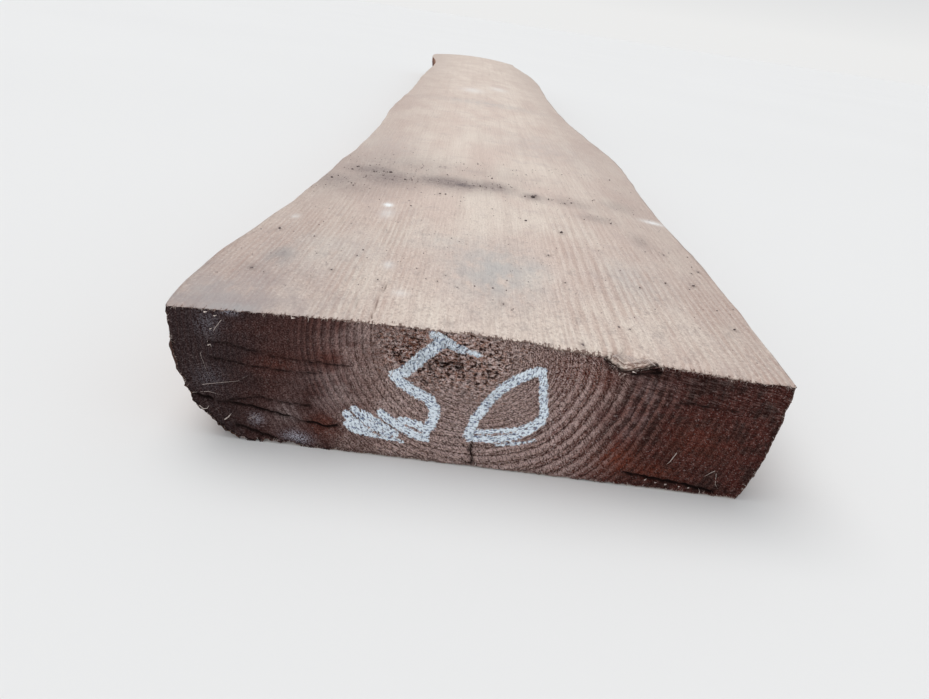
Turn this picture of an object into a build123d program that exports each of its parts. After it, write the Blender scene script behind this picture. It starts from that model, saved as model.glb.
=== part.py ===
"""Unedged timber plank, sawn right through a log and cut off square at both ends.

The two wide faces are saw cuts. The two long edges are the log's own surface, so they
wander along the length and lean in towards the lower face. The heart of the log lies
at the upper face, which has dried to a low crown. Y runs along the plank from the
marked end, +Z is up, and the origin is at floor level under the middle of the plank.
"""

from build123d import *
import os

# Driving dimensions, in millimetres
plank_length = 1700.0
edge_thickness = 50.0
marked_end_crown = 4.0
plain_end_crown = 7.0

# How the log's surface turns in below the upper face: evenly on the left, where 2 is
# close to a circle, and on the right steep at first and then quickly
left_turn = 2
right_turn = 4

# Each station along the plank: its share of the length, how far the left and the right
# edge of the upper face lie from the heart line, and how far each has drawn in below
STATIONS = (
    (0.00, 98, 120, 14, 7),
    (0.04, 98, 124, 15, 8),
    (0.09, 90, 126, 13, 10),
    (0.16, 84, 127, 11, 13),
    (0.24, 80, 135, 12, 17),
    (0.31, 84, 128, 16, 12),
    (0.42, 81, 117, 18, 9),
    (0.55, 82, 118, 14, 12),
    (0.70, 80, 127, 10, 16),
    (0.86, 88, 119, 13, 12),
    (1.00, 95, 100, 16, 10),
)

# The corner that has broken away under the left edge of the marked end: how far the break
# reaches along the lower face, up the edge and along the plank, and where its curve sags,
# as shares of the break's own width and height
broken_width = 15.0
broken_height = 13.0
broken_length = 260.0
sag_across = 0.5
sag_up = 0.33

# The splinter that has split off the upper edge of the marked end. From the heart's side
# its floor falls to the deepest place, rises to a step and then to the outer side, with
# both places as shares of the width and the step's depth as a share of the whole depth
splinter_from_heart = 61.0
splinter_width = 22.0
splinter_depth = 5.5
splinter_length = 10.0
deepest_across = 0.4
step_across = 0.75
step_depth = 0.6

# How far the cutting shapes run past the timber, and how small they are where they end
saw_clearance = 12.0
fade = 0.1

marked_end = -plank_length / 2


def cross_plane(y):
    """The plane across the plank at y, with its own x along X and its own y along Z."""
    return Plane.XZ.offset(-y)


def edge_reach(reach, lean, turn, height):
    """How far the log's surface lies from the heart line at a height above the lower face."""
    share_below_edge = abs(edge_thickness - height) / edge_thickness
    return reach - lean * share_below_edge**turn


def trunk_section(share, left, right, left_lean, right_lean):
    """The strip of the log around the plank, a little deeper than the plank each way."""
    top = edge_thickness + plain_end_crown + saw_clearance
    heights = (-saw_clearance, 0, edge_thickness / 2, edge_thickness, top)
    left_side = [(-edge_reach(left, left_lean, left_turn, height), height) for height in heights]
    right_side = [(edge_reach(right, right_lean, right_turn, height), height) for height in heights]
    with BuildSketch(cross_plane(marked_end + share * plank_length)) as section:
        with BuildLine():
            Spline(left_side)
            Line(left_side[-1], right_side[-1])
            Spline(right_side)
            Line(right_side[0], left_side[0])
        make_face()
    return section.sketch


def upper_cut_section(station, crown):
    """What lies under the upper saw cut at a station, where that cut has risen to a crown."""
    share, left, right, *_ = station
    middle = (right - left) / 2
    half_width = (left + right) / 2
    reach = half_width + max(max(station[1:3]) for station in STATIONS)
    side_height = edge_thickness + crown * (1 - (reach / half_width) ** 2)
    upper_left = (middle - reach, side_height)
    upper_right = (middle + reach, side_height)
    lower_right = (middle + reach, -2 * saw_clearance)
    lower_left = (middle - reach, -2 * saw_clearance)
    with BuildSketch(cross_plane(marked_end + share * plank_length)) as section:
        with BuildLine():
            ThreePointArc(upper_left, (middle, edge_thickness + crown), upper_right)
            Polyline(upper_right, lower_right, lower_left, upper_left)
        make_face()
    return section.sketch


def scale_outside(length):
    """The scale of a cutting shape before the marked end, which it meets at its full size."""
    return 1 + (1 - fade) * saw_clearance / length


def broken_corner_section(y, scale):
    """What is missing at the lower left corner, bounded by a sagging curve."""
    _, left, _, left_lean, _ = STATIONS[0]
    height = broken_height * scale
    top = (-edge_reach(left, left_lean, left_turn, height), height)
    toe = (broken_width * scale - edge_reach(left, left_lean, left_turn, 0), 0)
    sag = (top[0] + (toe[0] - top[0]) * sag_across, height * sag_up)
    outside = (top[0] - saw_clearance, height + saw_clearance)
    with BuildSketch(cross_plane(y)) as section:
        with BuildLine():
            Spline(outside, top, sag, toe)
            Polyline(toe, (toe[0], -saw_clearance), (outside[0], -saw_clearance), outside)
        make_face()
    return section.sketch


def splinter_section(y, scale):
    """The notch across the upper edge."""
    width = splinter_width * scale
    depth = splinter_depth * scale
    upper_face = edge_thickness + marked_end_crown
    inner_side = splinter_from_heart - width / 2
    outer_side = splinter_from_heart + width / 2
    with BuildSketch(cross_plane(y)) as section:
        with BuildLine():
            Polyline(
                (inner_side, upper_face + saw_clearance),
                (inner_side, upper_face),
                (inner_side + width * deepest_across, upper_face - depth),
                (inner_side + width * step_across, upper_face - depth * step_depth),
                (outer_side, upper_face),
                (outer_side, upper_face + saw_clearance),
                close=True,
            )
        make_face()
    return section.sketch


# The trunk, lofted through its stations
with BuildPart() as trunk:
    loft([trunk_section(*station) for station in STATIONS])

# All that lies under the upper saw cut
with BuildPart() as under_upper_cut:
    loft([
        upper_cut_section(STATIONS[0], marked_end_crown),
        upper_cut_section(STATIONS[-1], plain_end_crown),
    ])

# The broken corner, which shrinks to nothing along the plank
with BuildPart() as broken_corner:
    loft([
        broken_corner_section(marked_end - saw_clearance, scale_outside(broken_length)),
        broken_corner_section(marked_end + broken_length, fade),
    ])

# The splinter's notch, which shrinks the same way
with BuildPart() as splinter_notch:
    loft([
        splinter_section(marked_end - saw_clearance, scale_outside(splinter_length)),
        splinter_section(marked_end + splinter_length, fade),
    ])

# The saw takes the plank out of the trunk between the upper cut and a level lower one
with BuildPart() as timber:
    add(trunk.part)
    add(under_upper_cut.part, mode=Mode.INTERSECT)
    split(bisect_by=Plane.XY, keep=Keep.TOP)
    add(broken_corner.part, mode=Mode.SUBTRACT)
    add(splinter_notch.part, mode=Mode.SUBTRACT)

# The plank is moved to lie on the floor with its box centred on the origin
box = timber.part.bounding_box()
with BuildPart() as plank:
    with Locations((-box.center().X, -box.center().Y, -box.min.Z)):
        add(timber.part)

plank.part.label = "plank"
os.makedirs("parts", exist_ok=True)
export_step(plank.part, "parts/plank.step")
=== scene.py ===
"""The looks of an unedged timber plank.

One closed skin stands for the plank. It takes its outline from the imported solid, row by
row, and adds what is too fine for the solid: torn and cracked end grain, ridges of the
growth rings, saw marks and the rough natural edges. Torn fibres and crumbs of soil lie
on it. Lengths are millimetres, but metres in the last section.
"""

import itertools
import math

import bpy
import numpy as np
from mathutils import Color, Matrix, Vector
from mathutils.bvhtree import BVHTree
from mathutils.kdtree import KDTree


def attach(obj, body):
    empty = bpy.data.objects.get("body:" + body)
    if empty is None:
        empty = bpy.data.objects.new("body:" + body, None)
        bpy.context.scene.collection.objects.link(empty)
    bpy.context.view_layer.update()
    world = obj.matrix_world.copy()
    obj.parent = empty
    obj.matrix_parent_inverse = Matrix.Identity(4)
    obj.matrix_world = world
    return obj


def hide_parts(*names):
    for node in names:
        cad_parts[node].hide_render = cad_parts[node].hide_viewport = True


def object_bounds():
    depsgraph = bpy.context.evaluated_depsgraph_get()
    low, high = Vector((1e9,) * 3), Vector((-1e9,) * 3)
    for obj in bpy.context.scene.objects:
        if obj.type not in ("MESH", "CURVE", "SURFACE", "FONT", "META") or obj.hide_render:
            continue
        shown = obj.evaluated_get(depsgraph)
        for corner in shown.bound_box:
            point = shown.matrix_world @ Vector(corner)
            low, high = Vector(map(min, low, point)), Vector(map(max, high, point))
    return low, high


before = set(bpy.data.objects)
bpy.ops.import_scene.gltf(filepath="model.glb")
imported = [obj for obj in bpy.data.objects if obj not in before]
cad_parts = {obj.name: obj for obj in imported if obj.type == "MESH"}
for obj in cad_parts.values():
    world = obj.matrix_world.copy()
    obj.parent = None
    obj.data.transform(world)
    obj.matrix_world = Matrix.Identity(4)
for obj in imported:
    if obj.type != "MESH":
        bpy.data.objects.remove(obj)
cad_low, cad_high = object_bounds()

MM = 0.001
LENGTH = (cad_high.y - cad_low.y) / MM
MARKED_END = cad_low.y / MM
PLAIN_END = cad_high.y / MM

# How far the cuts through the solid and all pieces stay inside its box
INSIDE = 0.02

# The heart of the log: where it lies across the plank, and its height above the lower face
HEART_X = -16.7
HEART_HEIGHT = 41.0

# The rings are arcs about one middle (across from the heart, height) on the left of the heart
# and about another on the right, with the years that have grown at some distances from it
LEFT_ARCS = (8, 50)
LEFT_GROWTH = ((8, 32, 58, 150), (0, 13, 22.6, 61))
RIGHT_ARCS = (10, 45.5)
RIGHT_GROWTH = ((4, 34, 70, 150), (0, 16, 24.8, 50))

# Parts of the surface
UPPER, RIGHT, LOWER, LEFT, MARKED, PLAIN = range(6)

# Zones along the plank: how far from the marked end each reaches, the distance between its rows,
# and the steps of a row across the upper face, down each side and across the lower face
ZONES = (
    (3.0, 0.6, 400, 60, 200),
    (8.0, 1.2, 260, 40, 120),
    (120.0, 2.5, 260, 24, 90),
    (400.0, 5.0, 170, 20, 60),
    (LENGTH, 12.0, 104, 16, 40),
)
# The steps across and down at the two ends
MARKED_GRID = (400, 88)
PLAIN_GRID = (110, 28)


# Random fields

LATTICE = 64


def noise(places, sizes, seed):
    """A smooth random field between -1 and 1 with lumps of the given sizes along X, Y and Z."""
    lattice = np.random.default_rng(seed).uniform(-1, 1, (LATTICE,) * 3)
    scaled = places / np.asarray(sizes, float)
    cell = np.floor(scaled).astype(int)
    share = scaled - cell
    share = share * share * (3 - 2 * share)
    total = np.zeros(len(places))
    for corner in itertools.product((0, 1), repeat=3):
        weight = np.prod(np.where(corner, share, 1 - share), axis=1)
        total += weight * lattice[tuple(((cell + corner) % LATTICE).T)]
    return total


def fractal(places, sizes, seed, octaves=4):
    """Several random fields, each finer and weaker than the one before."""
    finer, weaker = 0.53, 0.5
    sizes = np.asarray(sizes, float)
    fields = [weaker**step * noise(places, sizes * finer**step, seed + step) for step in range(octaves)]
    return sum(fields)


def rise(value, low, high):
    """0 below low, 1 above high, and a smooth step between them."""
    share = np.clip((value - low) / (high - low), 0, 1)
    return share * share * (3 - 2 * share)


def line_distance(across, up, line):
    """How far each point lies from a line of points."""
    nearest = np.full(len(across), np.inf)
    for (x1, y1), (x2, y2) in zip(line[:-1], line[1:]):
        run = (x2 - x1) ** 2 + (y2 - y1) ** 2
        share = np.clip(((across - x1) * (x2 - x1) + (up - y1) * (y2 - y1)) / run, 0, 1)
        gap = np.hypot(across - x1 - share * (x2 - x1), up - y1 - share * (y2 - y1))
        nearest = np.minimum(nearest, gap)
    return nearest


# The skin's outline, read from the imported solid

def solid_mesh(node):
    """A node's vertices in millimetres, each only once, and its triangles."""
    mesh = node.data
    mesh.calc_loop_triangles()
    places = np.array([vertex.co for vertex in mesh.vertices]) / MM
    triangles = np.array([triangle.vertices for triangle in mesh.loop_triangles])
    places, index = np.unique(places, axis=0, return_inverse=True)
    return places, index.reshape(-1)[triangles]


def outline_at(y, places, triangles):
    """The solid's outline across y, as points (x, z) in clockwise order seen from the marked end."""
    offset = places[:, 1] - y
    offset[offset == 0] = 1e-9
    beyond = offset > 0
    crossing = triangles[np.ptp(beyond[triangles].astype(int), axis=1) == 1]
    neighbours = {}
    for triangle in crossing:
        pairs = zip(triangle, np.roll(triangle, 1))
        one, other = [(min(pair), max(pair)) for pair in pairs if beyond[pair[0]] != beyond[pair[1]]]
        neighbours.setdefault(one, []).append(other)
        neighbours.setdefault(other, []).append(one)
    first = next(iter(neighbours))
    path = [first, neighbours[first][0]]
    while path[-1] != first:
        one, other = neighbours[path[-1]]
        path.append(other if one == path[-2] else one)
    start, end = np.array(path[:-1]).T
    share = (offset[start] / (offset[start] - offset[end]))[:, None]
    points = (places[start] + share * (places[end] - places[start]))[:, [0, 2]]
    x, z = points.T
    area = np.sum(x * np.roll(z, -1) - np.roll(x, -1) * z)
    return points[::-1] if area > 0 else points


def four_sides(outline, steps_across, steps_down, steps_below):
    """The outline's upper edge, right side, lower edge and left side, as evenly spaced points."""
    # At the lower corners the height counts for more than the distance sideways
    sideways = 0.4
    x, z = outline.T
    outline = np.roll(outline, -np.argmax(z - x), axis=0)
    x, z = outline.T
    corners = [0, np.argmax(z + x), np.argmax(sideways * x - z), np.argmax(-sideways * x - z)]
    closed = np.vstack([outline, outline[:1]])
    ends = corners[1:] + [len(outline)]
    sides = []
    for start, end, steps in zip(corners, ends, (steps_across, steps_down, steps_below, steps_down)):
        chain = closed[start:end + 1]
        along = np.concatenate([[0], np.cumsum(np.linalg.norm(np.diff(chain, axis=0), axis=1))])
        even = np.linspace(0, along[-1], steps + 1)
        sides.append(np.stack([np.interp(even, along, chain[:, axis]) for axis in (0, 1)], axis=1))
    return sides


def row_plan():
    """Each row's distance from the marked end and its steps round the plank."""
    plan = [(0.0, MARKED_GRID[0], MARKED_GRID[1], MARKED_GRID[0])]
    start = 0.0
    for reach, spacing, across, down, below in ZONES:
        rows = math.ceil((reach - start) / spacing)
        for row in range(1, rows + 1):
            plan.append((start + (reach - start) * row / rows, across, down, below))
        start = reach
    plan[-1] = (LENGTH, PLAIN_GRID[0], PLAIN_GRID[1], PLAIN_GRID[0])
    return plan


class Skin:
    """A growing mesh: its places, its triangles and the part of the surface that each is on."""

    def __init__(self):
        self.places = []
        self.triangles = []
        self.regions = []

    def add(self, y, points):
        """Adds the points (x, z) at y and returns their numbers."""
        first = len(self.places)
        self.places.extend((x, y, z) for x, z in points)
        return np.arange(first, len(self.places))

    def add_row(self, y, sides):
        """Adds a row round the plank, and returns the numbers along each of its four sides."""
        numbers = self.add(y, np.vstack([side[:-1] for side in sides]))
        starts = np.cumsum([0] + [len(side) - 1 for side in sides])
        closed = np.append(numbers, numbers[0])
        return [closed[start:end + 1] for start, end in zip(starts[:-1], starts[1:])]

    def join(self, near, far, region):
        """Joins two chains that run the same way, which may have different numbers of steps."""
        here, there = 0, 0
        steps_near, steps_far = len(near) - 1, len(far) - 1
        while here < steps_near or there < steps_far:
            if (here + 1) * steps_far <= (there + 1) * steps_near and here < steps_near:
                self.triangles.append((near[here], near[here + 1], far[there]))
                here += 1
            else:
                self.triangles.append((near[here], far[there + 1], far[there]))
                there += 1
            self.regions.append(region)

    def fill(self, sides, numbers, y, region):
        """Closes an end with a grid whose border is the row of the given sides and numbers."""
        upper, right, lower, left = sides[0], sides[1], sides[2][::-1], sides[3][::-1]
        s = np.linspace(0, 1, len(upper))[:, None]
        t = np.linspace(0, 1, len(right))[:, None, None]
        rows = (1 - t) * upper + t * lower
        columns = (1 - s) * left[:, None] + s * right[:, None]
        corners = (1 - s) * rows[:, :1] + s * rows[:, -1:]
        inner = (rows + columns - corners)[1:-1, 1:-1]
        grid = np.zeros(rows.shape[:2], int)
        grid[1:-1, 1:-1] = self.add(y, inner.reshape(-1, 2)).reshape(inner.shape[:2])
        grid[0], grid[-1] = numbers[0], numbers[2][::-1]
        grid[:, -1], grid[:, 0] = numbers[1], numbers[3][::-1]
        if region == PLAIN:
            grid = grid[:, ::-1]
        a, b, c, d = grid[:-1, :-1], grid[1:, :-1], grid[1:, 1:], grid[:-1, 1:]
        self.triangles.extend(np.stack([a, b, c], axis=-1).reshape(-1, 3))
        self.triangles.extend(np.stack([a, c, d], axis=-1).reshape(-1, 3))
        self.regions.extend([region] * (2 * a.size))


def plank_skin():
    """The skin before any relief, and the numbers along the marked end's border."""
    places, triangles = solid_mesh(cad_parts["plank"])
    skin = Skin()
    last = None
    for distance, *steps in row_plan():
        y = MARKED_END + distance
        cut = np.clip(y, MARKED_END + INSIDE, PLAIN_END - INSIDE)
        sides = four_sides(outline_at(cut, places, triangles), *steps)
        numbers = skin.add_row(y, sides)
        if last is None:
            border = numbers
            skin.fill(sides, numbers, y, MARKED)
        else:
            for region in (UPPER, RIGHT, LOWER, LEFT):
                skin.join(last[region], numbers[region], region)
        last = numbers
    skin.fill(sides, last, y, PLAIN)
    return np.array(skin.places), np.array(skin.triangles), np.array(skin.regions), border


def unit(vectors):
    """The vectors brought to length one."""
    return vectors / np.linalg.norm(vectors, axis=1)[:, None]


def vertex_normals(places, triangles):
    """The outward direction at each place."""
    corners = places[triangles]
    facing = np.cross(corners[:, 1] - corners[:, 0], corners[:, 2] - corners[:, 0])
    normals = np.zeros_like(places)
    for corner in range(3):
        np.add.at(normals, triangles[:, corner], facing)
    return unit(normals)


# What the photograph shows on the marked end. Places are (across from the heart, height above the
# lower face), so the upper left corner is at (-98, 50) and the upper right one at (120, 50).

# Strokes of the number: half width and points
CHALK = (
    (1.6, (-7.5, 51.8), (-4, 50.2), (0, 48), (3.5, 47)),
    (0.8, (3, 47), (6, 46.6), (9, 46.2)),
    (2.2, (-4.5, 49), (-7, 46.5), (-10, 43), (-13, 39.5), (-16, 36)),
    (1.6, (-11.5, 42.5), (-14, 37.5), (-18.5, 35.5), (-19.8, 34.5)),
    (2, (-19.5, 34.5), (-16.5, 31.5), (-11, 28.5), (-6.5, 26.5), (-4, 23), (-3.8, 19), (-5, 15)),
    (1.5, (-5, 15.5), (-7, 13.5), (-9, 15.2), (-12.5, 16), (-15.5, 16.4)),
    (1.3, (-4.6, 18), (-5.5, 14), (-6, 10.5)),
    (1.6, (-6, 9.8), (-10, 10.8), (-14, 12.6), (-18.5, 15.2), (-22.8, 18.4)),
    (1.5, (-35, 16.2), (-33, 13.8), (-30, 12.2)),
    (1.8, (-34, 12), (-31, 10), (-27, 9.6)),
    (1.35, (-32.6, 18.6), (-30, 16), (-26.5, 13.2), (-23, 11.2), (-19.5, 9.6)),
    (1.3, (-29, 17.4), (-25, 15.2), (-21, 12.8), (-17, 10.4)),
    (0.7, (-26.5, 8.4), (-22, 8), (-17, 7.6)),
    (1.8, (9.5, 13.5), (11, 21), (14, 27), (18, 33.5), (23, 38.5), (28, 42), (31, 43)),
    (1.5, (31, 43), (32.5, 39), (33.5, 33), (35, 26), (34.5, 23.5)),
    (0.9, (35, 25.5), (32, 22), (27, 18.6), (20, 16.8), (12, 15.2)),
    (1.5, (34.8, 23), (31, 18.5), (26, 15.3), (20, 13.3), (10, 12.2)),
    (0.5, (20, 10.9), (26, 12.2), (31, 13.6), (33.5, 14.8)),
    (0.5, (-19, 8.4), (-14, 7.2)),
)

# Cracks: half width, depth and points
CRACKS = (
    (0.42, 1.5, (-92, 17), (-80, 15), (-67, 14), (-60, 12.8), (-52, 11), (-43, 9.8), (-38, 10.5)),
    (0.45, 0.85, (-80, 15), (-75, 16), (-67.5, 18.4), (-63, 18.1), (-55, 17.1), (-48, 17.5)),
    (0.45, 0.85, (-83, 32.1), (-76, 31.3), (-68.6, 30.6), (-58, 30.3), (-50, 30.5), (-45, 31.5)),
    (0.45, 0.85, (-62, 35.2), (-55, 35), (-45.5, 35.1), (-40, 35.4), (-35, 35.4)),
    (0.45, 0.75, (-84, 37.8), (-77.5, 38.2), (-70.7, 36.8), (-65.5, 35.8), (-58, 35.6)),
    (0.5, 0.4, (-88, 20), (-78, 22.5), (-70.8, 24.4), (-62, 25.2), (-56, 26)),
    (0.5, 0.35, (-46, 26), (-40, 24.5), (-34, 24.8)),
    # The next one runs along the dark band at the lower left border: a shallow groove whose darkness is
    # painted shade
    (0.8, 0.9, (-74, 5.5), (-69, 4.5), (-65, 3), (-60, 1.2)),
    (0.4, 1.2, (-5.8, 41.3), (-3.8, 40.9), (-1.7, 41), (-0.1, 41.8), (2.1, 40.9)),
    (0.35, 1.2, (-3.4, 39.4), (-1.3, 39.1)),
    (0.35, 1.2, (0.5, 40.1), (1.9, 39.9), (2.9, 39.1), (3.6, 41.7)),
    (0.4, 1, (-8.1, 39.3), (-6.9, 38.1)),
    (0.25, 1.6, (10.6, 14), (11.4, 11), (10.8, 7), (12.2, 3), (12.2, 0)),
    (0.6, 1.4, (68.6, 5.3), (76.4, 4.6), (84, 4), (92, 3.7), (98.5, 2.4), (104, 1.6)),
    (0.5, 0.9, (82, 37.3), (88, 37.5), (94.3, 37.3), (103, 37)),
    (0.5, 2.2, (52.4, 51.4), (55.5, 49.9), (59.2, 48.4), (64.8, 48.7), (70.4, 49.6)),
    (0.5, 1.6, (62, 46.6), (67.1, 47.6), (72, 48.4)),
)

# Hollows where wood has torn out: across, height, half width, half height, depth
TORN_OUT = (
    (75, 26, 2.2, 3.6, 1), (64, 36, 5, 3, 0.6), (-14, 46, 4.5, 5, 0.6), (0, 43.5, 6, 3.6, 0.8),
    (-5, 33, 8, 2.2, 0.6), (60, 28, 1.4, 14, 0.25), (56, 47.6, 4, 1.4, 1.2),
)

# Patches of colour, the last of pale dust and cobweb: across, height, half width, half height, strength
END_PATCHES = {
    "warm": (
        (-16, 45, 7, 9, 1.3), (-17, 38, 3, 4, 1), (64, 11, 9, 7, 1.3), (-42, 10, 7, 5, 0.8),
        (46, 44, 10, 6, 1.2), (0, 41, 10, 5, 0.9), (-40, 38, 8, 6, 0.35), (92, 22, 14, 9, 0.5),
        (-60, 33, 9, 4, 0.35), (80, 8, 12, 4, 0.9),
    ),
    "dusty": (
        (-38, 26, 13, 16, 1), (4, 18, 14, 16, 1.3), (50, 28, 12, 22, 0.35), (30, 24, 12, 14, 1),
        (-56, 12, 6, 6, 1), (68, 41, 9, 7, 1), (32, 6, 20, 6, 0.1), (-34, 46, 10, 6, 1),
        (-18, 26, 8, 10, 1), (66, 27, 3, 7, 1), (72, 28, 3, 8, 1),
    ),
    "dark": (
        (60, 30, 1.6, 10, 1), (56.5, 49.2, 4, 2, 1), (58, 19, 2, 6, 0.8), (64, 35, 9, 2.5, 0.5),
        (76, 26, 3, 6, 1), (-49.5, 40, 1.6, 12, 0.8), (-48, 24, 2, 8, 0.7), (-36, 13, 3, 4, 0.7),
        (-90, 14, 6, 3, 0.7), (102, 3, 9, 2.5, 0.8), (24, 5, 18, 6, 0.3), (86, 48.5, 24, 1.8, 0.8),
        (62, 47.5, 7, 1.6, 0.8), (-78, 11, 8, 3, 0.6), (93, 9, 12, 5, 0.75), (3, 26, 8, 0.9, 0.6),
    ),
    "smudge": (
        (-52.5, 3.5, 4.5, 2.4, 1), (-67, 9.5, 2.4, 2.4, 0.5), (-84, 45, 4, 5, 0.2), (-84, 24, 5, 4, 0.15),
        (-76.5, 50.6, 2.6, 1.2, 0.8),
    ),
}

# Pale fibres and cobweb lying on the end: half width and points
LOOSE_FIBRES = (
    (0.1, (-79, 47), (-81, 44), (-84, 38), (-86.5, 33), (-83.5, 24)),
    (0.1, (-93, 20), (-86, 21), (-80, 22.5), (-74, 24), (-70, 27)),
    (0.09, (-90, 17), (-84, 18.5), (-79, 17.5)),
    (0.22, (-87.5, 12.2), (-86, 11), (-84.6, 11.4), (-84, 12.6)),
    (0.24, (-78.5, 7.5), (-77, 9), (-76, 10.6)),
    (0.22, (-83.8, 36.8), (-83, 37.2), (-82.4, 36.2)),
    (0.2, (-83, 43), (-82, 43.6)),
    (0.08, (-70, 9), (-67.5, 10.5), (-66, 13)),
    (0.12, (102, 11.5), (100.5, 10), (98.5, 8)),
    (0.1, (103, 10), (103.8, 5.5), (105.5, 3.6)),
    (0.16, (86, 17), (84.5, 13), (83.5, 11.5)),
    (0.26, (59.3, 48.1), (63, 47.4), (67, 48.5), (70.4, 49.3)),
    (0.3, (62, 47.5), (63.6, 47.1)),
    (0.12, (-20.6, 33.5), (-19.8, 37), (-18.4, 39.5)),
    (0.34, (-84.8, 49.1), (-83.6, 49.4)),
    (0.3, (-81.5, 48.1), (-80.4, 48.5)),
    (0.4, (-55.6, 51), (-54.2, 51.2)),
    (0.36, (77.3, 3.5), (78.3, 3.8)),
    (0.3, (81.3, 3), (82.1, 3)),
    (0.38, (85.1, 2.7), (86.1, 2.9)),
    (0.3, (90.4, 2.5), (91.2, 2.6)),
    (0.34, (94.2, 2.3), (95, 2.4)),
)


# What the photograph shows on the upper face. Places are (across from the heart, distance from the
# marked end).

# Patches of colour, the last at the torn notch by the marked end, whose bottom also takes painted shade:
# across, distance, half width, half length, strength
FACE_PATCHES = {
    "grey": (
        (14, 68, 20, 36, 1), (0, 98, 30, 14, 0.45), (32, 78, 8, 16, 0.8), (-74, 60, 7, 14, 0.7),
        (-58, 72, 26, 24, 0.35), (78, 88, 16, 26, 0.45), (-86, 14, 12, 16, 0.4), (60, 420, 40, 60, 0.3),
        (-60, 330, 26, 60, 0.25), (20, 690, 60, 26, 0.5), (-77, 2, 9, 5, 0.9),
    ),
    "soil": (
        (-12, 226, 28, 20, 1), (-48, 222, 26, 28, 0.85), (-78, 205, 20, 26, 0.6), (16, 230, 18, 18, 0.8),
        (42, 219, 8, 10, 0.8), (66, 220, 16, 14, 0.45), (78, 190, 12, 9, 0.5), (100, 236, 12, 16, 0.35),
        (98, 158, 6, 14, 0.4), (-40, 262, 50, 40, 0.4), (10, 262, 40, 34, 0.25), (-66, 190, 22, 20, 0.45),
        (-2, 224, 13, 9, 1.3), (-60, 240, 20, 18, 0.9), (-74, 60, 5, 9, 0.5), (-82, 44, 6, 6, 0.3),
    ),
    "white": (
        (118, 211, 7, 4, 1), (-41, 155, 2.2, 3.4, 1.6), (-40, 138, 3.5, 8, 0.45), (-22, 30, 3, 3, 0.4),
        (-30, 60, 2, 4, 0.5), (0, 830, 14, 30, 0.5), (-82, 118, 2, 3, 0.5), (40, 900, 12, 30, 0.4),
    ),
    "splinter": ((61, 0, 9, 9, 1),),
}

# Crumbs and the stains round them: across, distance, half width of the stain
SPECKS = (
    (-84, 96, 1.9), (-81, 42, 1.5), (-51, 47, 1.1), (-44, 67, 1.1), (-32, 41, 1), (-9, 47, 0.9),
    (-6, 55, 0.8), (-1, 43, 0.8), (20, 27, 0.7), (17, 32, 1.2), (41, 102, 1.5), (45, 67, 1.1),
    (52, 145, 2), (95, 90, 1.4), (107, 140, 1.2), (110, 95, 2), (113, 46, 1.6), (115, 115, 1),
    (120, 120, 1.4), (42, 217, 3), (52, 218, 1.6), (62, 215, 1.7), (44, 222, 2.2), (-15, 192, 1.6),
    (44, 5, 1.4), (5, 2, 0.9), (65, 26, 0.9), (80, 77, 1.4), (9, 226, 2), (22, 230, 2.1),
)
SPECK_WIDTH_TO_LENGTH = 0.6

# Cracks: half width, depth and points
LONG_CRACKS = (
    (0.35, 1.2, (-30, 4), (-29.3, 18), (-28.6, 30), (-27.8, 41)),
    (0.3, 0.8, (-36.5, 0), (-36, 14), (-36.6, 24)),
    (0.3, 0.8, (-2.5, 520), (-1, 600), (-3, 700), (-2, 820)),
    (0.3, 0.9, (30, 1130), (33, 1240), (31, 1360), (34, 1480)),
)


def patch_reach(across, along, patch):
    """The square of each place's distance from a patch's middle, counted in its half sizes."""
    at_across, at_along, half_width, half_length, _ = patch
    return ((across - at_across) / half_width) ** 2 + ((along - at_along) / half_length) ** 2


def patch_cover(across, along, patches):
    """How much of each place is covered by soft patches."""
    return np.max([np.exp(-patch_reach(across, along, patch)) * patch[-1] for patch in patches], axis=0)


def growth_rings(places):
    """The years grown to each place, its distance along the ring from the lowest point, and how clear
    the ring is."""
    endless = 1e6
    wander = 5 * noise(places, (endless, 420, endless), 11)
    wander += 1.2 * noise(places, (endless, 130, endless), 12)
    across = places[:, 0] - HEART_X - wander * rise(places[:, 1] - MARKED_END, 0, 200)
    height = places[:, 2]
    from_heart = np.hypot(across, height - HEART_HEIGHT)
    uneven = fractal(places, (26, 500, 26), 13, octaves=3) * np.minimum(from_heart / 30, 1)
    on_right = rise(across, -15, 25)
    sides = ((1 - on_right, LEFT_ARCS, LEFT_GROWTH), (on_right, RIGHT_ARCS, RIGHT_GROWTH))
    years, arc, distances = 0, 0, []
    for share, (middle, middle_height), growth in sides:
        distance = np.hypot(across - middle, height - middle_height)
        years = years + share * np.interp(distance + uneven, *growth)
        arc = arc + share * distance * np.arctan2(across - middle, middle_height - height)
        distances.append(distance)
    years += 0.35 * noise(np.stack([years, 0 * years, 0 * years], axis=1), (2.7, 1, 1), 14)
    left, right = distances
    clear_left = 0.62 * rise(left, 26, 38) * rise(68 - left, 0, 14)
    clear_right = 0.7 * rise(right, 17, 24) + 0.3 * rise(right, 31, 38)
    clear_right *= 0.25 + 0.75 * rise(80 - right, 0, 20)
    clear_right *= (0.35 + 0.65 * rise(50 - height, 0, 14)) * rise(116 - right, 0, 12)
    below_heart = 0.6 * rise(34 - np.minimum(left, right), 0, 8) * rise(38 - height, 0, 5)
    clear = (1 - on_right) * clear_left + on_right * clear_right
    return years, arc, 0.08 + 0.92 * np.maximum(clear, below_heart)


def latewood(years):
    """How far each place is into the dense dark wood that ends a year's growth."""
    share = years % 1
    return rise(share, 0.35, 0.85) * (1 - rise(share, 0.9, 1.0))


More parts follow.
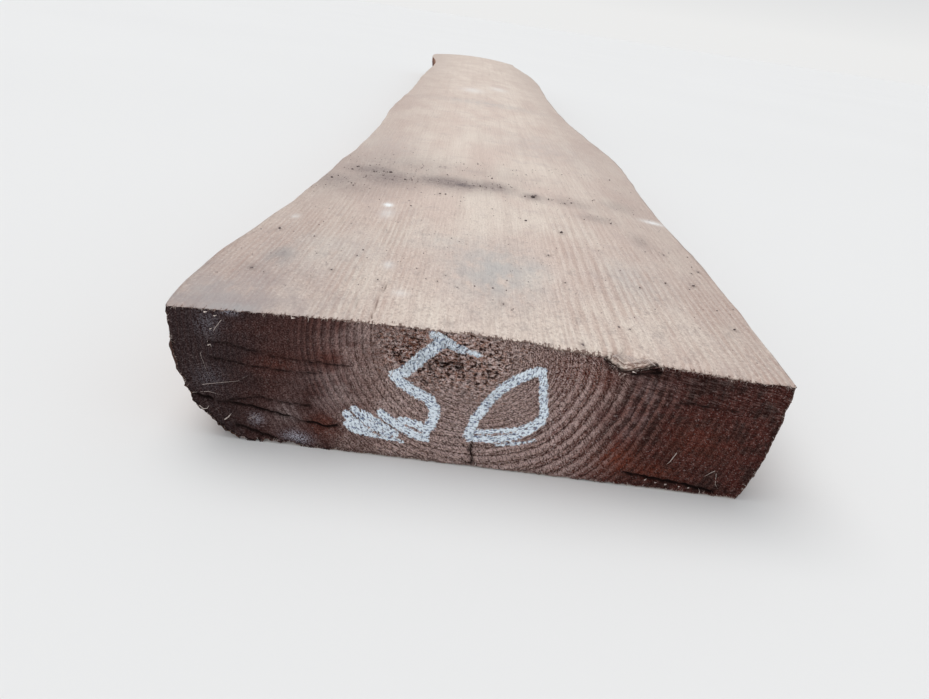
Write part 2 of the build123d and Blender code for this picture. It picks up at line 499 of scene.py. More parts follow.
class Surface:
    """The skin's places with the fields that shape and colour them."""

    def __init__(self, places, triangles, border):
        self.places = places
        self.normals = vertex_normals(places, triangles)
        self.across = places[:, 0] - HEART_X
        self.along = places[:, 1] - MARKED_END
        self.height = places[:, 2]
        side, length, up = self.normals.T
        facing = np.clip([-length, length, up, -up], 0, 1) ** 2
        self.on_marked, self.on_plain, self.on_upper, self.on_lower = facing
        self.on_side = side**2
        self.years, self.arc, self.ring_show = growth_rings(places)
        self.late = latewood(self.years)
        self.border_gap, self.border_pull = self.from_border(border)
        self.crack, self.crack_shade = np.zeros((2, len(places)))

    def from_border(self, border):
        """Each place's distance from the marked end's border, and how far its tears pull the place in."""
        farthest = 30.0
        fade = 2.6
        ring = np.unique(np.concatenate(border))
        places, across, height = self.places[ring], self.across[ring], self.height[ring]
        inward = unit(-self.normals[ring] * (1, 0, 1))
        splintered = rise(-across, 20, 60) * rise(30 - height, 0, 12)
        worn_down = rise(across, 26, 36) * rise(118 - across, 0, 14) * rise(height, 36, 42)
        torn = fractal(places, (1.6, 9, 1.6), 33)
        steps = rise(fractal(places, (7, 9, 7), 34), -0.3, 0.3) - 0.5
        inward *= (0.1 + 0.32 * torn + 1.3 * worn_down + splintered * (0.55 * torn + 1.3 * steps))[:, None]
        tree = KDTree(len(ring))
        for number, place in enumerate(places):
            tree.insert(place, number)
        tree.balance()
        gap = np.full(len(self.places), farthest)
        pull = np.zeros_like(self.places)
        for index in np.flatnonzero(self.along < farthest):
            nearest, gap[index] = tree.find(self.places[index])[1:]
            pull[index] = inward[nearest] * math.exp(-gap[index] / fade)
        return gap, pull

    def marked_end_relief(self):
        """Depth of the torn grain, rings, pits and cracks on the marked end."""
        places, across, height = self.places, self.across, self.height
        rough = 0.16 * fractal(places, (1.5, 9, 1.5), 21) + 0.12 * fractal(places, (9, 9, 7), 22)
        rings = 0.03 + 0.07 * self.ring_show * (1 - self.late)
        flattened = np.hypot(0.75 * across, 1.3 * (height - HEART_HEIGHT - 4))
        soft = rise(25 - flattened + 8 * noise(places, (7, 9, 7), 23), 0, 12)
        self.heart = soft * self.on_marked
        crumbs = rise(fractal(places, (1.7, 9, 1.3), 24), 0.0, 0.75)
        slope = across + 3.2 * height + 2.5 * noise(places, (8, 9, 8), 25)
        hatch_share = rise(across, 62, 84) + 0.35 * rise(-across, 50, 80)
        hatch = noise(np.stack([slope / 9, 0 * slope, slope / 1.7], axis=1), (1, 1, 1), 26)
        torn = rise(fractal(places, (3.0, 9, 1.1), 27), 0.35, 0.9)
        pits = soft * crumbs * 0.8 + hatch_share * (0.12 * hatch + 0.35 * torn)
        for hollow in TORN_OUT:
            pits += hollow[-1] * np.exp(-patch_reach(across, height, hollow) ** 2) * (0.55 + 0.6 * crumbs)
        chips = rise(fractal(places, (3.2, 6, 3.2), 28), 0.05, 0.8)
        worn = np.exp(-self.border_gap / 1.1) * (0.25 + 1.3 * chips)
        self.pit = self.on_marked * pits
        return 0.55 + rough + rings + pits + worn + self.crack_depth(CRACKS, height, self.on_marked)

    def crack_depth(self, lines, up, share):
        """Depth of cracks along listed lines, which wander a little."""
        full_dark = 1.6
        sway_across = 0.35 * fractal(self.places, (2.4, 25, 2.4), 31)
        sway_up = 0.35 * fractal(self.places, (2.4, 25, 2.4), 32)
        broken = rise(fractal(self.places, (7, 30, 5), 35), -1.2, -0.1)
        total = np.zeros(len(self.across))
        for half_width, depth, *line in lines:
            gap = line_distance(self.across + sway_across, up + sway_up, line)
            opening = np.exp(-((gap / half_width) ** 2)) * broken
            total = np.maximum(total, depth * opening)
            # How dark the crack is painted, standing for the shade inside it
            darkness = share * min(depth / full_dark, 1)
            self.crack = np.maximum(self.crack, opening * darkness)
            # A wider, softer painted shade round the crack
            self.crack_shade = np.maximum(self.crack_shade, np.exp(-((gap / (half_width + 0.9)) ** 2)) * darkness)
        return total

    def upper_relief(self):
        """Depth of the rings, saw marks, torn end and cracks on the upper face."""
        places = self.places
        saw_step = 7.3
        ridges = 0.08 * (1 - self.late) * rise(900 - self.along, 0, 700)
        lumps = 0.09 * fractal(places, (5, 40, 9), 41) + 0.16 * noise(places, (30, 160, 30), 42)
        saw = 0.04 * np.sin(self.along * 2 * math.pi / saw_step + 1.3 * noise(places, (60, 30, 60), 43))
        chips = rise(fractal(places, (2.6, 5, 2.6), 44), 0.1, 0.9)
        worn = np.exp(-self.border_gap / 1.3) * (0.1 + 0.9 * chips)
        return 0.3 + ridges + lumps + saw + worn + self.crack_depth(LONG_CRACKS, self.along, self.on_upper)

    def side_relief(self):
        """Depth of the natural edges, with ridges along the grain and scraps of inner bark."""
        places = self.places
        ridges = 0.35 * fractal(places, (9, 60, 5), 51) + 0.45 * fractal(places, (20, 26, 13), 52)
        bark = rise(fractal(places, (30, 85, 16), 53), 0.05, 0.35)
        flakes = bark * (0.45 + 0.35 * fractal(places, (9, 14, 4), 54))
        self.bark = bark * self.on_side
        return 0.45 + ridges - flakes

    def sawn_relief(self, seed):
        """Depth of a hidden sawn face."""
        places = self.places
        lumps = 0.08 * fractal(places, (4, 30, 4), seed) + 0.1 * noise(places, (30, 160, 30), seed + 1)
        return 0.25 + lumps + 0.1 * (1 - self.late)

    def shaped(self):
        """The places after the relief has been pressed into the skin."""
        depth = (
            self.on_marked * self.marked_end_relief()
            + self.on_upper * self.upper_relief()
            + self.on_side * self.side_relief()
            + self.on_lower * self.sawn_relief(61)
            + self.on_plain * (0.25 + self.sawn_relief(71) + 0.2 * fractal(self.places, (3, 9, 1.4), 73))
        )
        return self.places + self.border_pull - self.normals * depth[:, None]

    def chalk_gap(self):
        """How far each place on the marked end lies outside the strokes of the number."""
        farthest = 12.0
        gap = np.full(len(self.across), farthest)
        near = np.flatnonzero(self.along < 1)
        for half_width, *line in CHALK:
            reach = line_distance(self.across[near], self.height[near], line) - half_width
            gap[near] = np.minimum(gap[near], reach)
        return gap

    def fields(self):
        """What the materials read at each place."""
        specks = [(*middle, width, width / SPECK_WIDTH_TO_LENGTH, 1) for *middle, width in SPECKS]
        names = ("years", "arc", "ring_show", "across", "along", "border_gap", "crack", "crack_shade", "pit")
        fields = {name: getattr(self, name) for name in (*names, "heart", "bark")}
        fields["high"] = rise(self.height, 30, 40)
        fields["chalk_gap"] = self.chalk_gap()
        fields["speck"] = patch_cover(self.across, self.along, specks)
        for name, patches in END_PATCHES.items():
            fields[name] = patch_cover(self.across, self.height, patches)
        for name, patches in FACE_PATCHES.items():
            fields[name] = patch_cover(self.across, self.along, patches)
        return fields


# Where each part of the surface lies on the square map: left, top, width and height
CHARTS = {
    MARKED: (0.004, 0.004, 0.992, 0.248),
    UPPER: (0.004, 0.260, 0.992, 0.390),
    LOWER: (0.310, 0.658, 0.686, 0.146),
    PLAIN: (0.004, 0.658, 0.298, 0.075),
    RIGHT: (0.004, 0.812, 0.992, 0.078),
    LEFT: (0.004, 0.900, 0.992, 0.078),
}


def map_places(places, regions, triangles):
    """Each triangle corner's place on the map. The near part of the plank takes more of it."""
    half_width = cad_high.x / MM
    top = cad_high.z / MM
    half_scale_at = 300.0
    corners = places[triangles]
    along = np.log1p((corners[..., 1] - MARKED_END) / half_scale_at) / math.log1p(LENGTH / half_scale_at)
    across = (corners[..., 0] + half_width) / (2 * half_width)
    down = 1 - corners[..., 2] / top
    spot = np.zeros(corners.shape[:2] + (2,))
    for region, (left, upper, width, height) in CHARTS.items():
        here = regions == region
        first = across if region in (MARKED, PLAIN) else along
        second = across if region in (UPPER, LOWER) else down
        spot[here, :, 0] = left + width * np.clip(first[here], 0, 1)
        spot[here, :, 1] = 1 - upper - height * np.clip(second[here], 0, 1)
    return spot.reshape(-1, 2)


# Objects

def scene_object(name, data):
    """A new object in the scene."""
    thing = bpy.data.objects.new(name, data)
    bpy.context.scene.collection.objects.link(thing)
    return thing


def mesh_object(name, places, triangles, materials, fields, spots):
    """A piece that rides with the plank."""
    places = np.clip(places, np.array(cad_low) / MM + INSIDE, np.array(cad_high) / MM - INSIDE)
    mesh = bpy.data.meshes.new(name)
    mesh.from_pydata((places * MM).tolist(), [], triangles.tolist())
    for material in materials:
        mesh.materials.append(material)
    for field, values in fields.items():
        attribute = mesh.attributes.new(field, "FLOAT", "POINT")
        attribute.data.foreach_set("value", values.astype(np.float32))
    layer = mesh.uv_layers.new(name="OFBake")
    layer.data.foreach_set("uv", spots.astype(np.float32).ravel())
    mesh.polygons.foreach_set("use_smooth", [True] * len(mesh.polygons))
    mesh.update()
    piece = scene_object(name, mesh)
    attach(piece, "root")
    return piece


def scatter(name, shapes, material, seen_along):
    """One piece made of small closed shapes (places, triangles, tone), with its map as it is seen
    along one axis."""
    parts, corners, tones = zip(*shapes)
    counts = [len(part) for part in parts]
    starts = np.cumsum(counts) - counts
    places = np.vstack(parts)
    triangles = np.vstack([part + start for part, start in zip(corners, starts)])
    flat = np.delete(places, seen_along, axis=1)
    flat = (flat - flat.min(axis=0)) / np.ptp(flat, axis=0)
    mesh_object(name, places, triangles, [material], {"tone": np.repeat(tones, counts)}, flat[triangles])


def pebble(rng):
    """A small lump of radius one: places and triangles."""
    golden = (1 + math.sqrt(5)) / 2
    edge = 2
    corners = [(0, a, b * golden) for a in (-1, 1) for b in (-1, 1)]
    corners = np.array([np.roll(corner, turn) for turn in range(3) for corner in corners])
    gaps = np.linalg.norm(corners[:, None] - corners[None], axis=2)
    close = (gaps > 0) & (gaps < 1.05 * edge)
    outward = []
    for a, b, c in itertools.combinations(range(12), 3):
        if close[a, b] and close[b, c] and close[a, c]:
            facing = np.cross(corners[b] - corners[a], corners[c] - corners[a]) @ corners[a]
            outward.append((a, b, c) if facing > 0 else (a, c, b))
    places = corners / np.linalg.norm(corners[0])
    places = places * rng.uniform(0.7, 1.15, (12, 1)) * rng.uniform(0.75, 1.2, 3)
    turn = rng.uniform(0, 2 * math.pi)
    c, s = math.cos(turn), math.sin(turn)
    return places @ np.array([(c, s, 0), (-s, c, 0), (0, 0, 1)]), np.array(outward)


def sliver(points, half_width, half_thickness):
    """A torn fibre along a line of points, pointed at its far end: places and triangles."""
    points = np.array(points, float)
    steps = len(points)
    heading = unit(np.gradient(points, axis=0))
    nearly_lengthwise = (0.05, 1, 0.02)
    beside = unit(np.cross(heading, nearly_lengthwise))
    over = np.cross(beside, heading)
    taper = (1 - np.linspace(0, 1, steps) ** 1.6 * 0.9)[:, None]
    wide, thick = taper * half_width * beside, taper * half_thickness * over
    places = np.stack([points + wide, points + thick, points - wide, points - thick], axis=1).reshape(-1, 3)
    triangles = [(0, 2, 1), (0, 3, 2)]
    for step in range(steps - 1):
        for corner in range(4):
            a, b = 4 * step + corner, 4 * step + (corner + 1) % 4
            triangles += [(a, b, b + 4), (a, b + 4, a + 4)]
    last = 4 * (steps - 1)
    triangles += [(last, last + 1, last + 2), (last, last + 2, last + 3)]
    return places, np.array(triangles)


# Materials

def linear(colour):
    """The linear values of an sRGB colour given as values from 0 to 255."""
    return (*Color([value / 255 for value in colour]).from_srgb_to_scene_linear(), 1.0)


class Value:
    """What a node gives at each place. A sum with it makes another node."""

    def __init__(self, finish, socket):
        self.finish = finish
        self.socket = socket

    def __add__(self, other):
        return self.finish.maths("ADD", self, other)

    def __sub__(self, other):
        return self.finish.maths("SUBTRACT", self, other)

    def __rsub__(self, other):
        return self.finish.maths("SUBTRACT", other, self)

    def __mul__(self, other):
        return self.finish.maths("MULTIPLY", self, other)

    __radd__ = __add__
    __rmul__ = __mul__

    def ramp(self, low, high):
        """0 at low, 1 at high, and a smooth step between them."""
        inputs = {"Value": self, "From Min": low, "From Max": high}
        return self.finish.node("MapRange", inputs, interpolation_type="SMOOTHSTEP")

    def band(self, start, full, fade, end):
        """1 between full and fade, and 0 below start and above end."""
        return self.ramp(start, full) * self.ramp(end, fade)


# Sockets of the node that mixes colours, by number because some of them share a name
MIX_SHARE, MIX_FIRST, MIX_SECOND, MIX_RESULT = 0, 6, 7, 2


class Finish:
    """One material, with short calls for its nodes. Lengths in it are millimetres, and a colour is
    its sRGB values from 0 to 255."""

    def __init__(self, name, roughness, shine=0.25):
        self.material = bpy.data.materials.new(name)
        self.material.use_nodes = True
        self.tree = self.material.node_tree
        self.shader = self.tree.nodes["Principled BSDF"]
        self.shader.inputs["Roughness"].default_value = roughness
        self.shader.inputs["Specular IOR Level"].default_value = shine
        self.place = self.node("TexCoord", {}, "Object")

    def put(self, value, socket):
        """Links a value to a socket, or sets the socket to a number or a colour."""
        if isinstance(value, Value):
            self.tree.links.new(value.socket, socket)
        else:
            socket.default_value = linear(value) if socket.type == "RGBA" else value

    def node(self, kind, inputs, output=0, **settings):
        """What a new node of a kind gives, with some inputs and settings."""
        node = self.tree.nodes.new("ShaderNode" + kind)
        for setting, value in settings.items():
            setattr(node, setting, value)
        for name, value in inputs.items():
            self.put(value, node.inputs[name])
        return Value(self, node.outputs[output])

    def field(self, name):
        """A field of the mesh."""
        return self.node("Attribute", {}, "Fac", attribute_name=name)

    def maths(self, operation, *numbers):
        """The result of one operation on numbers."""
        return self.node("Math", dict(enumerate(numbers)), operation=operation)

    def texture(self, place, detail, roughness):
        """A random field about 0.5, with lumps of size one."""
        inputs = {"Vector": place, "Scale": 1.0, "Detail": detail, "Roughness": roughness}
        return self.node("TexNoise", inputs)

    def noise(self, sizes, detail=3.0, roughness=0.55, turn=0.0):
        """A random field with lumps of the given sizes along X, Y and Z, turned by degrees about Y."""
        inputs = {"Vector": self.place, "Angle": math.radians(turn)}
        turned = self.node("VectorRotate", inputs, rotation_type="Y_AXIS")
        per_metre = [1 / (size * MM) for size in sizes]
        place = self.node("VectorMath", {0: turned, 1: per_metre}, operation="MULTIPLY")
        return self.texture(place, detail, roughness)

    def ring_noise(self, thickness, run, slant=0.0, detail=2.0):
        """A random field with lumps some years thick and a run long along their ring, which slant by
        a length along the ring for each year."""
        years = self.field("years")
        inputs = {"X": years * (1 / thickness), "Y": (years * slant + self.field("arc")) * (1 / run)}
        return self.texture(self.node("CombineXYZ", inputs), detail, 0.5)

    def year_share(self, wobble, lines=1.0):
        """How far each place is through its year, or through a finer line, with ragged limits."""
        ragged = self.noise((0.8, 30, 0.8), 2) + self.noise((3.2, 60, 3.2), 2)
        return self.maths("FRACT", ragged * wobble + self.field("years") * lines)

    def mix(self, share, first, second):
        """Two colours mixed, with the second one's share."""
        inputs = {MIX_SHARE: share, MIX_FIRST: first, MIX_SECOND: second}
        return self.node("Mix", inputs, MIX_RESULT, data_type="RGBA")

    def wear(self, base, layers):
        """A base colour under layers of (share, colour)."""
        for share, layer in layers:
            base = self.mix(share, base, layer)
        return base

    def grain(self, base, texture, depth, glint):
        """A base colour with a fine texture: its hollows darker and its tops paler, partly the grain's own
        tone and partly painted shade and painted highlight.
        """
        # Painted shade in the texture's hollows and a painted highlight on its tops, over the grain's own
        # tone
        hollow = (texture.ramp(0.52, 0.38) * depth, (32, 13, 9))
        top = (texture.ramp(0.5, 0.64) * glint, (220, 198, 190))
        return self.wear(base, [hollow, top])

    def finish(self, base, height):
        """Gives the shader its colour and, from a height, its fine relief."""
        self.put(base, self.shader.inputs["Base Color"])
        relief = self.node("Bump", {"Distance": MM, "Strength": 1.0, "Height": height})
        self.put(relief, self.shader.inputs["Normal"])
        return self.material


def end_grain():
    """The marked end: dark weathered end grain with dusty rings, cracks and the chalked number."""
    f = Finish("end_grain", roughness=0.95, shine=0.08)
    across, pit, shown, heart = [f.field(name) for name in ("across", "pit", "ring_show", "heart")]
    year = f.year_share(0.22)
    late = year.band(0.79, 0.89, 0.92, 1.0)
    crest = year.band(0.0, 0.14, 0.3, 0.62)
    fine_line = f.year_share(0.4, 2.4).band(0.6, 0.8, 0.88, 1.0)
    mottle = f.noise((10, 10, 8), 4, 0.62)
    cells = f.noise((0.5, 0.5, 0.42), 1, 0.5)
    threads = f.ring_noise(0.2, 1.7)
    ticks = f.ring_noise(0.6, 0.5, -2.2, 1)
    grit = f.noise((1.5, 1.5, 1.0), 4, 0.75)
    hatch = f.noise((4.5, 4.5, 0.5), 3, 0.65, -10)
    ragged = mottle * 40 + (across - 20)
    right = ragged.ramp(43, 68)
    left = ragged.ramp(-58, -82)
    centre = ragged.ramp(-46, -14) * (1 - right)
    dust = f.field("dusty") * mottle.ramp(0.3, 0.6) * (0.5 + crest * 0.5) * 0.55
    base = f.wear((76, 49, 46), [
        (centre, (173, 142, 133)),
        (ragged.ramp(20, 46), (128, 84, 75)),
        (right, (78, 32, 26)),
        (left, (52, 42, 44)),
        (dust, (200, 182, 180)),
        (right * mottle.ramp(0.56, 0.42), (46, 22, 19)),
        (f.field("warm") * grit.ramp(0.25, 0.55) * 0.85, (116, 52, 32)),
        (f.field("dark") * grit.ramp(0.7, 0.4) * 0.75, (36, 21, 20)),
    ])
    along_rings = (1 - heart * 0.8) * (0.6 + centre * 0.4)
    base = f.grain(base, threads, along_rings * 0.75, centre * 0.34)
    base = f.grain(base, ticks, along_rings * 0.5, centre * 0.22)
    crest_colour = f.mix(centre, (128, 88, 80), (194, 168, 162))
    base = f.wear(base, [
        (fine_line * (0.16 + centre * 0.52), (58, 34, 28)),
        (late * shown * (0.5 + threads.ramp(0.58, 0.42) * 0.4), (46, 24, 20)),
        (crest * shown * ticks.ramp(0.32, 0.52) * 0.75, crest_colour),
    ])
    speckle = 1 - shown * 0.45
    base = f.grain(base, cells, speckle * (0.55 + centre * 0.27), speckle * (0.05 + centre * 0.28))
    streaky = right * (0.3 + f.field("high") * 0.6)
    base = f.grain(base, hatch, streaky * 0.6, streaky * 0.08)
    fringe = 1.7 - f.field("border_gap") - f.noise((1.2, 1.2, 2.0), 3, 0.7) * 2.4
    strewn = 0.12 + centre * 0.6 + right * 0.1
    specks = f.noise((0.8, 0.8, 0.6), 2, 0.6).ramp(0.6, 0.68) * strewn
    holes = f.noise((1.5, 1.5, 0.9), 3, 0.75).ramp(0.47, 0.42)
    base = f.wear(base, [
        (specks * mottle.ramp(0.3, 0.6), (220, 200, 196)),
        (fringe.ramp(-0.1, 0.35) * cells.ramp(0.4, 0.6) * 0.5, (176, 154, 144)),
        (grit.ramp(0.42, 0.3) * 0.6, (34, 18, 15)),
        (heart * grit.ramp(0.5, 0.62) * 0.4, (184, 132, 106)),
        (heart * grit.ramp(0.49, 0.42) * 0.75, (222, 200, 194)),
        # Painted shade in the holes of the heart, which the relief also presses in
        (heart * holes * 0.95, (34, 15, 10)),
        # Painted shade in the torn-out pits, darker where they are deeper
        (pit.ramp(0.4, 1.2) * cells.ramp(0.62, 0.42) * 0.6, (44, 24, 18)),
        (f.field("smudge") * cells.ramp(0.4, 0.58) * 0.75, (196, 196, 208)),
        # Painted shade round the cracks
        (f.field("crack_shade") * grit.ramp(0.2, 0.6) * 0.55, (36, 22, 19)),
        # Painted shade inside the cracks
        (f.field("crack").ramp(0.1, 0.6) * 0.9, (20, 11, 9)),
    ])
    edge = f.field("chalk_gap") + (f.noise((1.1, 1.1, 1.1), 3, 0.6) - 0.5) * 2.6
    dry = cells * 0.45 + threads * 0.55 + edge * -0.03
    chalk = edge.ramp(0.3, -0.2) * dry.ramp(0.41, 0.45) * pit.ramp(1.5, 0.8)
    powder = f.noise((1.0, 1.0, 0.8), 3, 0.7) * 0.6 + threads * 0.4
    chalk_tone = f.mix(powder.ramp(0.4, 0.52), (108, 122, 150), (238, 247, 255))
    base = f.mix(chalk * 0.98, base, chalk_tone)
    fine = cells * 0.5 + f.mix(streaky, threads, hatch) * 0.5 + ticks * 0.2 + grit * 0.5
    return f.finish(base, fine - heart * holes * 0.8 + chalk * 0.12 - late * shown * 0.1)


def sawn_face():
    """The wide faces: pale softwood with ring lines along it, greyed in patches and soiled."""
    f = Finish("sawn_face", roughness=0.88)
    across, along, crack, splinter = [f.field(name) for name in ("across", "along", "crack", "splinter")]
    late = f.year_share(0.6).band(0.2, 0.62, 0.86, 1.0)
    streaks = f.noise((0.7, 15, 0.7), 3, 0.65)
    bands = f.noise((6, 300, 6))
    mottle = f.noise((34, 80, 34), 4, 0.6)
    cloud = f.noise((12, 16, 12), 4, 0.65)
    fine = f.noise((1.0, 1.6, 1.0), 4, 0.72)
    grains = f.noise((2.2, 3.6, 2.2), 4, 0.8)
    near = along.ramp(260, 10)
    detail = 0.3 + near * 0.8
    clear = 0.3 + across.ramp(34, 50) * 0.7 + across.ramp(-14, -34) * 0.65
    clear = clear * f.noise((14, 50, 14)).ramp(0.25, 0.65) * (0.08 + near * 0.4)
    corner = across.ramp(-20, -80) * along.ramp(70, 0)
    sides = f.maths("ABSOLUTE", across - 20).ramp(25, 118) * (0.6 + mottle * 0.8)
    strewn = 0.15 + along.band(130, 200, 240, 320) + near * 0.3
    soil = f.field("soil") * (0.72 + grains.ramp(0.38, 0.6) * 0.28) * 0.85
    blots = f.noise((5, 9, 5), 4, 0.7).ramp(0.54, 0.68) * (0.06 + near * 0.3)
    base = f.wear(f.mix(mottle.ramp(0.35, 0.65), (222, 208, 195), (212, 193, 181)), [
        (sides * 0.55, (168, 150, 142)),
        (bands.ramp(0.45, 0.75) * 0.35, (194, 174, 163)),
        (cloud.ramp(0.5, 0.72) * 0.34, (184, 168, 162)),
        (late * clear, (166, 132, 118)),
        (streaks.ramp(0.46, 0.72) * detail * 0.3, (172, 151, 140)),
        (streaks.ramp(0.5, 0.3) * 0.22, (233, 219, 206)),
        (blots, (152, 138, 132)),
        (fine.ramp(0.5, 0.66) * detail * 0.42, (150, 132, 124)),
        (fine.ramp(0.46, 0.32) * detail * 0.4, (243, 232, 220)),
        (corner * cloud.ramp(0.25, 0.6) * 0.75, (160, 149, 147)),
        (along.ramp(500, 1500) * mottle.ramp(0.3, 0.6) * 0.4, (206, 193, 180)),
        (f.field("grey") * f.noise((6, 14, 6)).ramp(0.22, 0.6) * 0.66, (174, 175, 174)),
        (soil, (117, 106, 105)),
        (strewn * grains.ramp(0.62, 0.7) * 0.4, (125, 110, 103)),
        (f.field("white") * fine.ramp(0.3, 0.5) * 0.95, (243, 243, 241)),
        (f.field("speck") * fine.ramp(0.35, 0.5) * 0.5, (113, 100, 94)),
        # Painted shade inside the cracks along the face
        (crack.ramp(0.25, 0.8) * 0.7, (97, 78, 67)),
    ])
    middle = across.ramp(-66, -36) * across.ramp(66, 40) * 0.09
    torn = f.noise((1.1, 3.0, 1.1), 3, 0.75) + f.field("border_gap") * -0.07 + middle
    strands = f.noise((6, 0.9, 6), 3, 0.7)
    gap = along + f.noise((1.6, 1.6, 1.6)) * 2.4
    base = f.wear(base, [
        (splinter * strands.ramp(0.56, 0.44) * along.ramp(5, 2), (105, 78, 67)),
        (torn.ramp(0.48, 0.53) * 0.85, (93, 66, 57)),
        # Painted shade in the bottom of the torn notch, under the overhanging fibres
        (splinter.ramp(0.25, 0.5) * gap.ramp(2.7, 1.6), (45, 29, 24)),
    ])
    return f.finish(base, streaks * 0.25 + late * 0.05 + fine * 0.45 + cloud * 0.3)


def natural_edge():
    """The log's own surface: streaky sapwood with scraps of red-brown inner bark."""
    f = Finish("natural_edge", roughness=0.9)
    bark = f.field("bark")
    streaks = f.noise((1.2, 26, 1.2), 4, 0.62)
    mottle = f.noise((14, 40, 14), 4, 0.6)
    fine = f.noise((1.2, 2.4, 1.2), 3, 0.7)
    base = f.mix(mottle.ramp(0.35, 0.65), (160, 122, 98), (126, 86, 68))
    base = f.wear(base, [
        (streaks.ramp(0.42, 0.68) * 0.6, (112, 74, 58)),
        (bark.ramp(0.15, 0.6) * 0.85, (104, 62, 48)),
        (bark.ramp(0.4, 0.8) * fine.ramp(0.42, 0.6) * 0.8, (66, 44, 38)),
        (fine.ramp(0.56, 0.72) * 0.4, (202, 176, 154)),
        # Painted shade along the border of the marked end
        (f.field("along").ramp(8, 1) * 0.85, (62, 44, 40)),
    ])
    return f.finish(base, streaks * 0.4 + fine * 0.3)


def plain_end_grain():
    """The far end: the same end grain, cleaner and without a number."""
    f = Finish("plain_end_grain", roughness=0.92)
    late = f.year_share(0.42).band(0.4, 0.82, 0.86, 1.0)
    cells = f.noise((0.6, 0.6, 0.6), 2, 0.6)
    fibres = f.noise((3, 3, 0.7), 3, 0.6)
    mottle = f.noise((12, 12, 9), 4, 0.6)
    base = f.mix(cells.ramp(0.36, 0.66), (116, 78, 66), (158, 122, 108))
    base = f.wear(base, [
        (late * 0.6, (88, 56, 48)),
        (mottle.ramp(0.4, 0.66) * 0.5, (176, 146, 132)),
        (fibres.ramp(0.5, 0.72) * 0.5, (74, 48, 42)),
    ])
    return f.finish(base, cells * 0.25 + fibres * 0.4)


def soil_finish():
    """Dry grey-brown soil."""
    f = Finish("soil", roughness=0.95)
    grain = f.noise((0.5, 0.5, 0.5), 3, 0.7)
    base = f.mix(f.field("tone").ramp(0, 1), (92, 82, 80), (150, 138, 134))
    return f.finish(f.mix(grain.ramp(0.45, 0.65) * 0.5, base, (72, 62, 60)), grain * 0.3)


def fibre_finish():
    """Torn wood fibre, from brown to nearly white."""
    f = Finish("torn_fibre", roughness=0.85)
    grain = f.noise((0.4, 0.4, 1.2), 3, 0.6)
    base = f.mix(f.field("tone").ramp(0, 1), (112, 84, 74), (212, 198, 190))
    return f.finish(f.mix(grain.ramp(0.45, 0.7) * 0.45, base, (104, 80, 72)), grain * 0.1)


# The plank

def make_plank():
    """The plank's skin, with its relief, materials and map."""
    places, triangles, regions, border = plank_skin()
    surface = Surface(places, triangles, border)
    shaped = surface.shaped()
    materials = [sawn_face(), natural_edge(), end_grain(), plain_end_grain()]
    spots = map_places(places, regions, triangles)
    plank = mesh_object("plank_timber", shaped, triangles, materials, surface.fields(), spots)
    material_of = {UPPER: 0, LOWER: 0, RIGHT: 1, LEFT: 1, MARKED: 2, PLAIN: 3}
    plank.data.polygons.foreach_set("material_index", [material_of[region] for region in regions])
    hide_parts("plank")
    return shaped, triangles, border


def make_soil(ground):
    """Crumbs of soil on the upper face, thickest in the band across it."""
    rng = np.random.default_rng(5)
    # How thickly crumbs lie in a patch, the spread of their sizes, how many more are strewn about,
    # their largest radius and their least distance from the marked end
    thickly, varied, strewn, largest, nearest = 0.06, 0.45, 700, 1.7, 1.5
    spots = []
    for across, along, half_width, half_length, strength in FACE_PATCHES["soil"]:
        count = int(thickly * half_width * half_length * strength)
        sizes = rng.lognormal(math.log(0.3), varied, count)
        places = rng.normal(across, half_width * 0.6, count), rng.normal(along, half_length * 0.4, count)
        spots += zip(*places, sizes)
    sizes = rng.lognormal(math.log(0.2), varied, strewn)
    spots += zip(rng.uniform(-95, 122, strewn), 330 * rng.uniform(0.02, 1, strewn) ** 0.8, sizes)
    spots += [(across, along, half_width * 0.42) for across, along, half_width in SPECKS]
    soil = []
    for across, along, radius in spots:
        x, y = across + HEART_X, along + MARKED_END
        hit = ground.ray_cast((x, y, 100), (0, 0, -1))[0]
        if hit is None or along < nearest:
            continue
        places, triangles = pebble(rng)
        radius = min(radius, largest)
        places = places * (radius, radius, radius * 0.7) + (x, y, hit[2] + 0.3 * radius)
        if places[:, 2].max() < cad_high.z / MM:
            soil.append((places, triangles, rng.uniform(0, 1)))
    scatter("soil_crumbs", soil, soil_finish(), 2)


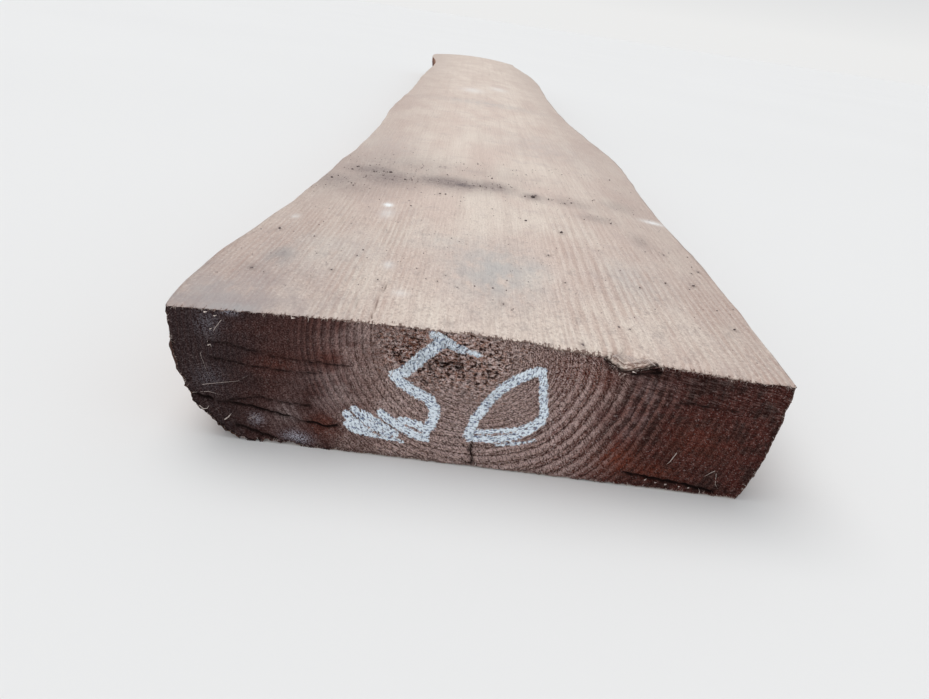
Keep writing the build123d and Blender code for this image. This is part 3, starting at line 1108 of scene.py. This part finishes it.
def make_fibres(ground, border):
    """Torn fibres round the edge of the marked end and lying on it."""
    rng = np.random.default_rng(8)
    splintered = 34
    fibres = []

    def lay(points, half_width, tone):
        """Lays a fibre on the face behind the given points (across, height)."""
        farthest = 6.0
        spots = []
        for across, height in points:
            hit = ground.ray_cast((across + HEART_X, MARKED_END - 10, height), (0, 1, 0))[0]
            if hit is None or hit[1] > MARKED_END + farthest:
                return
            spots.append((across + HEART_X, max(hit[1] - half_width, MARKED_END + half_width), height))
        fibres.append((*sliver(spots, half_width, half_width * 0.6), tone))

    def onward(start, length, way):
        """The point that lies a length from another in a direction given in radians."""
        return start + length * np.array((math.cos(way), math.sin(way)))

    upper, right, lower, left = border
    edges = ((upper, 0.6, 520, -90), (lower, 0.5, 240, 90), (left, 0.5, 60, 0), (right, 0.4, 40, 180))
    for chain, reach, count, droop in edges:
        for spot in rng.choice(len(chain) - 1, count):
            x, _, z = chain[spot]
            start = np.array((x - HEART_X, z))
            turn = math.radians(droop + rng.normal(0, 55))
            length = reach * rng.lognormal(0.1, 0.55)
            bend = rng.normal(0, 0.5)
            points = [onward(start, length * share, turn + bend * share) for share in np.linspace(0, 1, 4)]
            lay(points, rng.uniform(0.06, 0.17), rng.uniform(0, 0.8))
    for _ in range(splintered):
        share = rng.uniform(0, 1)
        height = 51.9 - 1.1 * math.sin(math.pi * share) + rng.normal(0, 0.3)
        start = np.array((54 + 13 * share, height))
        way = math.radians(rng.normal(-12, 14))
        points = [onward(start, length, way) for length in (0, 0.9, 1.9, 3.0)]
        lay(points, rng.uniform(0.08, 0.2), rng.uniform(0.7, 1.1))
    for half_width, *points in LOOSE_FIBRES:
        lay(points, half_width, 0.5 + 2 * half_width)
    scatter("torn_fibres", fibres, fibre_finish(), 1)


shaped, triangles, border = make_plank()
ground = BVHTree.FromPolygons(shaped.tolist(), triangles.tolist())
make_soil(ground)
make_fibres(ground, [shaped[chain] for chain in border])


# Floor, light and camera, with lengths in metres

def make_floor():
    """A plain pale floor, wide enough to reach the horizon."""
    half = 60.0
    corners = [(-half, -half, 0), (half, -half, 0), (half, half, 0), (-half, half, 0)]
    mesh = bpy.data.meshes.new("floor")
    mesh.from_pydata(corners, [], [(0, 1, 2, 3)])
    f = Finish("floor_finish", roughness=0.95)
    tone = f.mix(f.noise((900, 900, 900), 2), (226, 225, 223), (230, 229, 227))
    f.put(tone, f.shader.inputs["Base Color"])
    mesh.materials.append(f.material)
    floor = scene_object("floor", mesh)


def make_light():
    """A broad soft light from above, a weaker one from the front and an even pale surround."""
    suns = (
        ("overhead", 1.6, 50, (-14, -18, 0)),
        ("fill", 0.7, 60, (62, 0, -20)),
    )
    for name, energy, spread, turns in suns:
        lamp = bpy.data.lights.new(name, "SUN")
        lamp.energy = energy
        lamp.angle = math.radians(spread)
        scene_object(name, lamp).rotation_euler = [math.radians(turn) for turn in turns]
    world = bpy.data.worlds.new("surround")
    world.use_nodes = True
    nodes, links = world.node_tree.nodes, world.node_tree.links
    direction = nodes.new("ShaderNodeSeparateXYZ")
    links.new(nodes.new("ShaderNodeTexCoord").outputs["Generated"], direction.inputs["Vector"])
    sky = nodes.new("ShaderNodeValToRGB")
    links.new(direction.outputs["Z"], sky.inputs["Fac"])
    horizon, above = sky.color_ramp.elements
    horizon.position, horizon.color = 0.03, (0.84, 0.84, 0.835, 1)
    above.position, above.color = 0.25, (0.50, 0.52, 0.55, 1)
    links.new(sky.outputs["Color"], nodes["Background"].inputs["Color"])
    bpy.context.scene.world = world


def make_camera():
    """The camera, where the photograph was taken from."""
    photo_width = 929
    focal_pixels = 690
    data = bpy.data.cameras.new("camera")
    data.sensor_width = 36.0
    data.lens = data.sensor_width * focal_pixels / photo_width
    data.clip_start, data.clip_end = 0.01, 200.0
    camera = scene_object("camera", data)
    camera.location = (-0.0237, -1.0614, 0.1496)
    camera.rotation_euler = [math.radians(turn) for turn in (64.08, -7.75, 0.93)]
    bpy.context.scene.camera = camera


make_floor()
make_light()
make_camera()
bpy.context.scene.view_settings.view_transform = "Standard"
